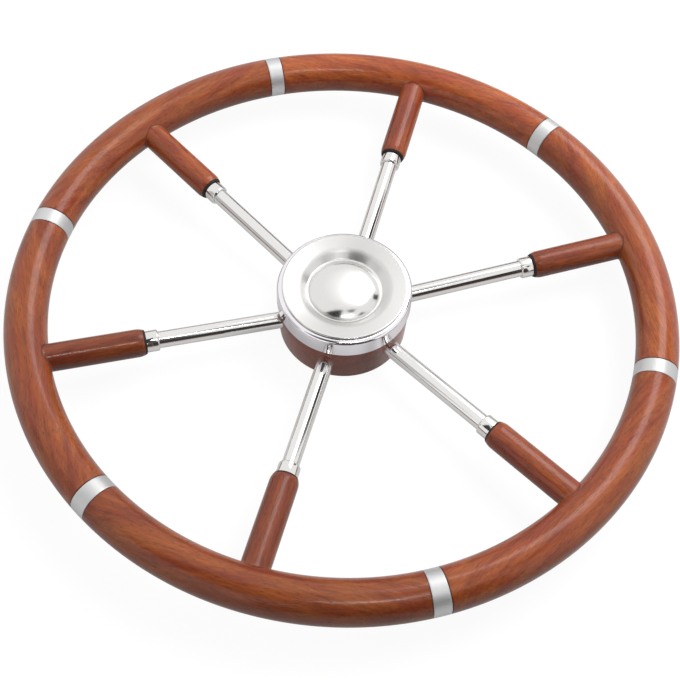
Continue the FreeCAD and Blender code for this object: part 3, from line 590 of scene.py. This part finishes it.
# Turned stainless: left as the lathe cut it, in lines drawn about 0.6 mm apart so that they show.
# To the eye it is grey, with a fine sheen round the axis.
def turned_steel(name, colour, roughness):
    material, tree = new_material(name)
    spot = add(tree, "ShaderNodeTexCoord")
    flat = add(tree, "ShaderNodeVectorMath", {0: spot.outputs["Object"], 1: (1, 1, 0)},
               operation="MULTIPLY")
    out = add(tree, "ShaderNodeVectorMath", {0: flat.outputs[0]}, operation="LENGTH")
    height = add(tree, "ShaderNodeSeparateXYZ", {0: spot.outputs["Object"]})
    across = add(tree, "ShaderNodeMath", {0: out.outputs["Value"], 1: height.outputs["Z"]})
    cuts = add(tree, "ShaderNodeTexNoise", {"W": across.outputs[0], "Scale": 1800, "Detail": 2},
               noise_dimensions="1D")
    dull = add(tree, "ShaderNodeMapRange", {0: cuts.outputs[0], 1: 0.3, 2: 0.7,
                                            3: roughness - 0.08, 4: roughness + 0.08})
    bump = add(tree, "ShaderNodeBump", {"Height": cuts.outputs[0], "Strength": 0.3,
                                        "Distance": 0.02 * MM})
    skin = add(tree, "ShaderNodeBsdfPrincipled",
               {"Base Color": linear(colour), "Metallic": 1.0, "Roughness": dull.outputs[0],
                "Normal": bump.outputs[0]})
    add(tree, "ShaderNodeOutputMaterial", {0: skin.outputs[0]})
    return material


dress(turned_steel("boss_turned_steel", "#BDBDBC", 0.32), "hub_boss")
dress(turned_steel("plate_turned_steel", "#C9C9C8", 0.28), "base_plate")
dress(polished_steel("screw_bright_steel", "#CFCECB", 0.2), "base_screws", "band_screws",
      "spoke_set_screws")
dress(rubber, "cap_o_ring")

# Hub wooden ring: a mahogany ring, turned a little narrower at its foot and drilled for the six
# spokes. It is varnished like the rim, and its lower edge is rounded.
HUB_SIDES = 180
WOOD_TOP = 37.5
WOOD_RADIUS = 55.2
WOOD_FOOT = 54.2
WOOD_EDGE = 1.5
WOOD_EASE = 0.3
WOOD_BORE = 37.0
PLATE_REBATE = 46.1
PLATE_THICKNESS = 2.0
SPOKE_HOLE = 7.1
DRILL_OVERRUN = 8
CORNER_STEPS = 6


def rounded(corners, steps=CORNER_STEPS):
    """A closed outline of radius and height, with each corner rounded by its own radius."""
    outline = []
    count = len(corners)
    for k, (x, y, radius) in enumerate(corners):
        here = Vector((x, y))
        if radius == 0:
            outline.append(here)
            continue
        before = (Vector(corners[k - 1][:2]) - here).normalized()
        after = (Vector(corners[(k + 1) % count][:2]) - here).normalized()
        half = before.angle(after) / 2
        reach = radius / math.tan(half)
        centre = here + (before + after).normalized() * (radius / math.sin(half))
        start = here + before * reach - centre
        sweep = start.angle_signed(here + after * reach - centre)
        for step in range(steps + 1):
            outline.append(centre + Matrix.Rotation(-sweep * step / steps, 2) @ start)
    return outline


def turned(name, outline, sharp=SHARP_ANGLE):
    """A shape turned about the wheel's axis from a closed outline of radius and height."""
    spin = [2 * math.pi * side / HUB_SIDES for side in range(HUB_SIDES)]
    rings = [[(r * math.cos(a), r * math.sin(a), z) for a in spin] for r, z in outline]
    return lofted(name, rings, closed=True, sharp=sharp)


wood_ring = turned("hub_wood_ring_turned", rounded([
    (PLATE_REBATE, 0, 0), (WOOD_FOOT, 0, WOOD_EDGE), (WOOD_RADIUS, WOOD_TOP, WOOD_EASE),
    (WOOD_BORE, WOOD_TOP, 0), (WOOD_BORE, PLATE_THICKNESS, 0),
    (PLATE_REBATE, PLATE_THICKNESS, 0)]))
grain_along(wood_ring, (1, 0, 0), (0, 1, 0))
drill_rings = [[on_spoke(along, SPOKE_HOLE, 2 * math.pi * side / SPOKE_SIDES)
                for side in range(SPOKE_SIDES)]
               for along in (WOOD_BORE - DRILL_OVERRUN, WOOD_RADIUS + DRILL_OVERRUN)]
cutter = repeated(lofted("drill", drill_rings), "spoke_drills", FIRST_SPOKE, None)
drill = wood_ring.modifiers.new("spoke_holes", "BOOLEAN")
drill.operation = "DIFFERENCE"
drill.solver = "EXACT"
drill.object = cutter
bored = wood_ring.evaluated_get(bpy.context.evaluated_depsgraph_get())
wood_ring.data = bpy.data.meshes.new_from_object(bored, preserve_all_data_layers=True,
                                                 depsgraph=bpy.context.evaluated_depsgraph_get())
wood_ring.modifiers.clear()
bpy.data.objects.remove(cutter)
wood_ring.data.set_sharp_from_angle(angle=math.radians(SHARP_ANGLE))
hub_wood = varnished_mahogany("hub_varnished_mahogany", "#8C3B22", "#A34B28", "#30120A", 0.2)
wood_ring.data.materials.clear()
wood_ring.data.materials.append(hub_wood)
place(wood_ring, "hub_wood", "hub_wood_ring")

# Hub band: a stainless ring turned from the solid, which stands on the wood and is screwed to
# the boss by its inner web. Its shoulder is rounded and it is buffed to a mirror. Its steel is
# set paler than the spokes', as painted light for the pale floor that it mirrors.
BAND_RADIUS = 56.2
BAND_TOP = 55.0
BAND_SHOULDER = 3.5
BAND_EASE = 0.4
BAND_STEPS = 10
BAND_BORE = 47.0
WEB_BORE = 18.0
WEB_TOP = 41.5
# Paler than the spokes' steel: painted light for the floor that the band mirrors.
band_steel = polished_steel("band_polished_steel", "#F2EFF3", 0.13)
band = turned("hub_band_turned", rounded([
    (WEB_BORE, WOOD_TOP, 0), (BAND_RADIUS, WOOD_TOP, BAND_EASE),
    (BAND_RADIUS, BAND_TOP, BAND_SHOULDER), (BAND_BORE, BAND_TOP, 0), (BAND_BORE, WEB_TOP, 0),
    (WEB_BORE, WEB_TOP, 0)], steps=BAND_STEPS))
band.data.materials.append(band_steel)
place(band, "band_steel", "hub_band")

# Hub disc: the spun stainless cover. A bright bead runs round its edge, and the satin face falls
# gently to a soft brow and a well that seats the cap. A spigot underneath drops into the band.
DISC_RADIUS = 52.1
DISC_TOP = 57.0
DISC_EDGE = 0.15
DISC_STEPS = 8
DISC_SHARP_ANGLE = 40
BEAD_WIDTH = 1.9
BEAD_DROP = 0.25
BEAD_ROUND = 1.0
BEAD_HOLLOW = 0.6
GROOVE_RADIUS = 50.5
GROOVE_TOP = 55.5
SPIGOT_RADIUS = 46.9
SPIGOT_INNER = 45.3
SPIGOT_FOOT = 52.0
DISH_RADIUS = 38.2
DISH_FLOOR = 54.62
DISH_WALL = 1.8
WELL_RADIUS = 31.6
SEAT = 49.6
NECK_RADIUS = 25.0
NECK_WALL = 1.6
NECK_FOOT = 44.2
BROW_RADIUS = 12.0
WELL_FILLET = 2.0
dish_fall = (DISC_TOP - BEAD_DROP - DISH_FLOOR) / (DISC_RADIUS - BEAD_WIDTH - DISH_RADIUS)
under_dish = DISH_FLOOR - DISH_WALL + (SPIGOT_INNER - DISH_RADIUS) * dish_fall
disc = turned("hub_disc_turned", rounded([
    (NECK_RADIUS, NECK_FOOT, 0), (NECK_RADIUS + NECK_WALL, NECK_FOOT, 0),
    (NECK_RADIUS + NECK_WALL, SEAT - NECK_WALL, 0),
    (WELL_RADIUS + DISH_WALL / 2, SEAT - NECK_WALL, 0),
    (DISH_RADIUS + DISH_WALL / 2, DISH_FLOOR - DISH_WALL, 0), (SPIGOT_INNER, under_dish, 0),
    (SPIGOT_INNER, SPIGOT_FOOT, 0), (SPIGOT_RADIUS, SPIGOT_FOOT, 0), (SPIGOT_RADIUS, BAND_TOP, 0),
    (GROOVE_RADIUS, BAND_TOP, 0), (GROOVE_RADIUS, GROOVE_TOP, 0),
    (DISC_RADIUS, GROOVE_TOP, DISC_EDGE), (DISC_RADIUS, DISC_TOP, BEAD_ROUND),
    (DISC_RADIUS - BEAD_WIDTH, DISC_TOP - BEAD_DROP, BEAD_HOLLOW),
    (DISH_RADIUS, DISH_FLOOR, BROW_RADIUS), (WELL_RADIUS, SEAT, WELL_FILLET),
    (NECK_RADIUS, SEAT, 0)], steps=DISC_STEPS), sharp=DISC_SHARP_ANGLE)


# Spun stainless: fine concentric lines from the lathe, drawn about 0.7 mm apart so that they
# show. To the eye the satin face is a pale sheen that spreads out from the middle, and where it
# is buffed, as on the bead, it mirrors the room.
def spun_steel(name, colour, lay, finish):
    """The lay is how far the lines draw out the shine. The finish lists a roughness for each
    radius in mm, from the middle outwards."""
    material, tree = new_material(name)
    spot = add(tree, "ShaderNodeTexCoord")
    flat = add(tree, "ShaderNodeVectorMath", {0: spot.outputs["Object"], 1: (1, 1, 0)},
               operation="MULTIPLY")
    out = add(tree, "ShaderNodeVectorMath", {0: flat.outputs[0]}, operation="LENGTH")
    share = add(tree, "ShaderNodeMapRange", {0: out.outputs["Value"], 2: DISC_RADIUS * MM})
    dull = add(tree, "ShaderNodeValToRGB", {0: share.outputs[0]})
    stops = dull.color_ramp.elements
    while len(stops) < len(finish):
        stops.new(1.0)
    for stop, (radius, roughness) in zip(stops, finish):
        stop.position = radius / DISC_RADIUS
        stop.color = (roughness, roughness, roughness, 1.0)
    lines = add(tree, "ShaderNodeTexNoise", {"W": out.outputs["Value"], "Scale": 1500,
                                             "Detail": 2}, noise_dimensions="1D")
    bump = add(tree, "ShaderNodeBump", {"Height": lines.outputs[0], "Strength": 0.12,
                                        "Distance": 0.02 * MM})
    skin = add(tree, "ShaderNodeBsdfPrincipled",
               {"Base Color": linear(colour), "Metallic": 1.0, "Roughness": dull.outputs[0],
                "Anisotropic": lay, "Tangent": flat.outputs[0], "Normal": bump.outputs[0]})
    add(tree, "ShaderNodeOutputMaterial", {0: skin.outputs[0]})
    return material


disc.data.materials.append(spun_steel("disc_satin_steel", "#D6D5D3", 0.65, (
    (DISH_RADIUS - 4, 0.3), (DISH_RADIUS + 1.5, 0.42), (DISC_RADIUS - 1.2, 0.42),
    (DISC_RADIUS - 0.8, 0.1))))
place(disc, "disc_steel", "hub_disc")

# Centre cap: a pressed stainless dome over the shaft's nut, with a rounded edge that stands in
# the well. Its skirt snaps into the neck on a rubber ring. It is buffed brightest on its brow.
CAP_RADIUS = 30.0
CAP_LIP = 50.1
CAP_BROW = 20.5
CAP_BROW_HEIGHT = 54.4
CAP_EDGE_RADIUS = 27.4
CROWN_TOP = 56.8
CROWN_RADIUS = 88.752
CAP_WALL = 1.8
SKIRT_RADIUS = 24.8
SKIRT_INNER = 21.8
SKIRT_FOOT = 45.2
RING_SEAT = 23.15
RING_SEAT_TOP = 48.3
RING_SEAT_FOOT = 46.3
CROWN_STEPS = 24
BROW_STEPS = 16


def arc(start, end, radius, steps):
    """Points of an arc between two points of an outline, bulging to the left of its way."""
    start, end = Vector(start), Vector(end)
    chord = end - start
    across = Vector((-chord.y, chord.x)).normalized()
    centre = start + chord / 2 - across * math.sqrt(radius ** 2 - chord.length_squared / 4)
    first = start - centre
    sweep = first.angle_signed(end - centre)
    return [centre + Matrix.Rotation(-sweep * k / steps, 2) @ first for k in range(steps + 1)]


crown = arc((0, CROWN_TOP), (CAP_BROW, CAP_BROW_HEIGHT), CROWN_RADIUS, CROWN_STEPS)
edge = arc((CAP_BROW, CAP_BROW_HEIGHT), (CAP_RADIUS, CAP_LIP), CAP_EDGE_RADIUS, BROW_STEPS)
inside = CROWN_TOP - CROWN_RADIUS + math.sqrt((CROWN_RADIUS - CAP_WALL) ** 2 - SKIRT_INNER ** 2)
cap = turned("centre_cap_pressed", crown + edge[1:] + [
    (CAP_RADIUS, SEAT), (SKIRT_RADIUS, SEAT), (SKIRT_RADIUS, RING_SEAT_TOP),
    (RING_SEAT, RING_SEAT_TOP), (RING_SEAT, RING_SEAT_FOOT), (SKIRT_RADIUS, RING_SEAT_FOOT),
    (SKIRT_RADIUS, SKIRT_FOOT), (SKIRT_INNER, SKIRT_FOOT), (SKIRT_INNER, inside),
    (0, CROWN_TOP - CAP_WALL)])
cap.data.materials.append(spun_steel("cap_polished_steel", "#E2E1DF", 0.0, (
    (8.0, 0.4), (14.0, 0.38), (CAP_BROW + 2, 0.18), (CAP_BROW + 4.5, 0.13),
    (CAP_BROW + 7.2, 0.13), (CAP_BROW + 8.6, 0.34))))
place(cap, "cap_steel", "centre_cap")

# Studio: a plain white paper floor just under the wheel, which keeps its faint shadow, and a plain
# white room, which the polished metal shows. Both give a plain, soft light. Sizes are in metres.
FLOOR_SIZE = 12.0
FLOOR_HEIGHT = -0.0002
FLOOR_GLOW = 0.93
FLOOR_MIRRORED_GLOW = 0.3
ROOM_LIGHT = 0.26
floor_mesh = bpy.data.meshes.new("floor")
floor_mesh.from_pydata([Vector((x * FLOOR_SIZE / 2, y * FLOOR_SIZE / 2, FLOOR_HEIGHT))
                        for x, y in ((-1, -1), (1, -1), (1, 1), (-1, 1))], [], [(0, 1, 2, 3)])
floor = bpy.data.objects.new("floor", floor_mesh)
bpy.context.scene.collection.objects.link(floor)
material, tree = new_material("floor_white_paper")
path = add(tree, "ShaderNodeLightPath")
seen = add(tree, "ShaderNodeMath", {0: path.outputs["Is Glossy Ray"],
                                    1: path.outputs["Is Transmission Ray"]}, operation="MAXIMUM")
shade = add(tree, "ShaderNodeMix", {0: seen.outputs[0], 6: linear("#585858"),
                                    7: linear("#A8A8A8")}, data_type="RGBA")
paper = add(tree, "ShaderNodeBsdfDiffuse", {"Color": shade.outputs[2]})
mirrored = add(tree, "ShaderNodeMath", {0: seen.outputs[0], 1: FLOOR_MIRRORED_GLOW},
               operation="MULTIPLY")
glow = add(tree, "ShaderNodeMath", {0: path.outputs["Is Camera Ray"], 1: FLOOR_GLOW,
                                    2: mirrored.outputs[0]}, operation="MULTIPLY_ADD")
light = add(tree, "ShaderNodeEmission", {"Color": (1, 1, 1, 1), "Strength": glow.outputs[0]})
whole = add(tree, "ShaderNodeAddShader", {0: paper.outputs[0], 1: light.outputs[0]})
add(tree, "ShaderNodeOutputMaterial", {0: whole.outputs[0]})
floor_mesh.materials.append(material)

world = bpy.data.worlds.new("studio")
bpy.context.scene.world = world
world.use_nodes = True
tree = world.node_tree
tree.nodes.clear()
path = add(tree, "ShaderNodeLightPath")
seen = add(tree, "ShaderNodeMath", {0: path.outputs["Is Camera Ray"],
                                    1: path.outputs["Is Glossy Ray"]}, operation="MAXIMUM")
seen = add(tree, "ShaderNodeMath", {0: seen.outputs[0], 1: path.outputs["Is Transmission Ray"]},
           operation="MAXIMUM")
level = add(tree, "ShaderNodeMapRange", {0: seen.outputs[0], 3: ROOM_LIGHT, 4: 1.0})
sky = add(tree, "ShaderNodeBackground", {"Color": (1, 1, 1, 1), "Strength": level.outputs[0]})
add(tree, "ShaderNodeOutputWorld", {0: sky.outputs[0]})

# Camera: above and in front of the wheel, at the photograph's angle, and turned a little on its
# own axis. It looks at a point of the rim's plane close to the hub.
CAMERA_ELEVATION = 56.0
CAMERA_AZIMUTH = math.radians(-77.849)
CAMERA_DISTANCE = 0.95707
CAMERA_ROLL = math.radians(3.699)
CAMERA_LENS = 60.33
CAMERA_SENSOR = 36.0
centre = Vector((0, 0, RIM_HEIGHT * MM))
aim = Vector((0.007523, -0.040018, RIM_HEIGHT * MM))


def direction(azimuth, elevation):
    """A heading from the wheel, in degrees to the right of the camera's side and above the
    floor."""
    turn = CAMERA_AZIMUTH + math.radians(azimuth)
    rise = math.radians(elevation)
    return Vector((math.cos(rise) * math.cos(turn), math.cos(rise) * math.sin(turn),
                   math.sin(rise)))


eye = centre + direction(0, CAMERA_ELEVATION) * CAMERA_DISTANCE
back = (eye - aim).normalized()
right = Vector((0, 0, 1)).cross(back).normalized()
up = back.cross(right)
tilted = right * math.cos(CAMERA_ROLL) + up * math.sin(CAMERA_ROLL)
upright = up * math.cos(CAMERA_ROLL) - right * math.sin(CAMERA_ROLL)
camera_data = bpy.data.cameras.new("camera")
camera_data.lens = CAMERA_LENS
camera_data.sensor_width = CAMERA_SENSOR
camera = bpy.data.objects.new("camera", camera_data)
camera.matrix_world = Matrix((
    (tilted.x, upright.x, back.x, eye.x), (tilted.y, upright.y, back.y, eye.y),
    (tilted.z, upright.z, back.z, eye.z), (0, 0, 0, 1)))
bpy.context.scene.collection.objects.link(camera)
bpy.context.scene.camera = camera

# Lights: a large soft box behind the wheel, which the dome and the rim show, a thin lamp over the
# lens and a weak fill on each side. Distances and sizes are in metres and the power is in watts.
for name, azimuth, elevation, distance, width, height, power, mirrored in (
        ("back_box", 148, 51, 2.8, 1.25, 1.7, 20, True),
        ("ceiling_lamp", 19, 66, 3.0, 0.9, 0.07, 6, True),
        ("side_fill", 122, 50, 1.5, 0.8, 0.8, 15, False),
        ("left_fill", -78, 35, 1.5, 0.8, 0.8, 5, False)):
    heading = direction(azimuth, elevation)
    lamp = bpy.data.lights.new(name, "AREA")
    lamp.shape = "RECTANGLE"
    lamp.size = width
    lamp.size_y = height
    lamp.energy = power
    box = bpy.data.objects.new(name, lamp)
    box.location = centre + heading * distance
    box.rotation_mode = "QUATERNION"
    box.rotation_quaternion = heading.to_track_quat("Z", "Y")
    box.visible_camera = False
    box.visible_glossy = mirrored
    bpy.context.scene.collection.objects.link(box)

# Cards: sheets seen only in reflections, which glow with their own flat colour and so paint
# reflections of felt-covered boards on the polished metal: painted reflections that draw its dark
# lines. Dark ones stand in front, at the right, low behind and overhead, a dim one round the
# lens, and a grey one on the left.
CARD_DISTANCE = 1.6
CARD_COLUMNS = 8


# A glow of its own flat colour, the same in any light: a painted reflection of evenly matt wool
# felt.
def reflection_glow(name, colour):
    material, tree = new_material(name)
    # The card's glow, not lamplight, sets the colour that the metal mirrors.
    shade = add(tree, "ShaderNodeEmission", {"Color": linear(colour), "Strength": 1.0})
    add(tree, "ShaderNodeOutputMaterial", {0: shade.outputs[0]})
    return material


dark_reflection_glow = reflection_glow("card_dark_reflection_glow", "#3A3A3A")
grey_reflection_glow = reflection_glow("card_grey_reflection_glow", "#C4C4C4")
lens_reflection_glow = reflection_glow("card_lens_reflection_glow", "#5A5A5C")


def card(name, cover, near_side, far_side, foot, top, lean=0):
    """A card by the directions of its sides, foot and top from the wheel, in degrees. The lean
    moves its top edge on round the wheel."""
    corners = []
    for k in range(CARD_COLUMNS + 1):
        azimuth = near_side + (far_side - near_side) * k / CARD_COLUMNS
        corners += [centre + direction(azimuth, foot) * CARD_DISTANCE,
                    centre + direction(azimuth + lean, top) * CARD_DISTANCE]
    mesh = bpy.data.meshes.new(name)
    mesh.from_pydata(corners, [], [(2 * k, 2 * k + 2, 2 * k + 3, 2 * k + 1)
                                   for k in range(CARD_COLUMNS)])
    mesh.materials.append(cover)
    piece = bpy.data.objects.new(name, mesh)
    bpy.context.scene.collection.objects.link(piece)
    piece.visible_camera = False
    piece.visible_diffuse = False
    piece.visible_shadow = False


card("card_front_left", dark_reflection_glow, -58, -8, 38, 86)
card("card_front_right", dark_reflection_glow, 8, 46, 2, 42)
card("card_front_low", dark_reflection_glow, -17, 8, 2, 22)
card("card_right", dark_reflection_glow, 106, 118, 19, 42, lean=8)
card("card_back_low", dark_reflection_glow, 153, 190, 1, 12)
card("card_overhead", dark_reflection_glow, 45, 84, 73, 83)
card("card_corner", dark_reflection_glow, 54, 71, 46, 57)
card("card_left", grey_reflection_glow, -88, -60, 5, 40)
card("card_round_lens", lens_reflection_glow, -8, 22, 22, 60)

bpy.context.scene.view_settings.view_transform = "Standard"
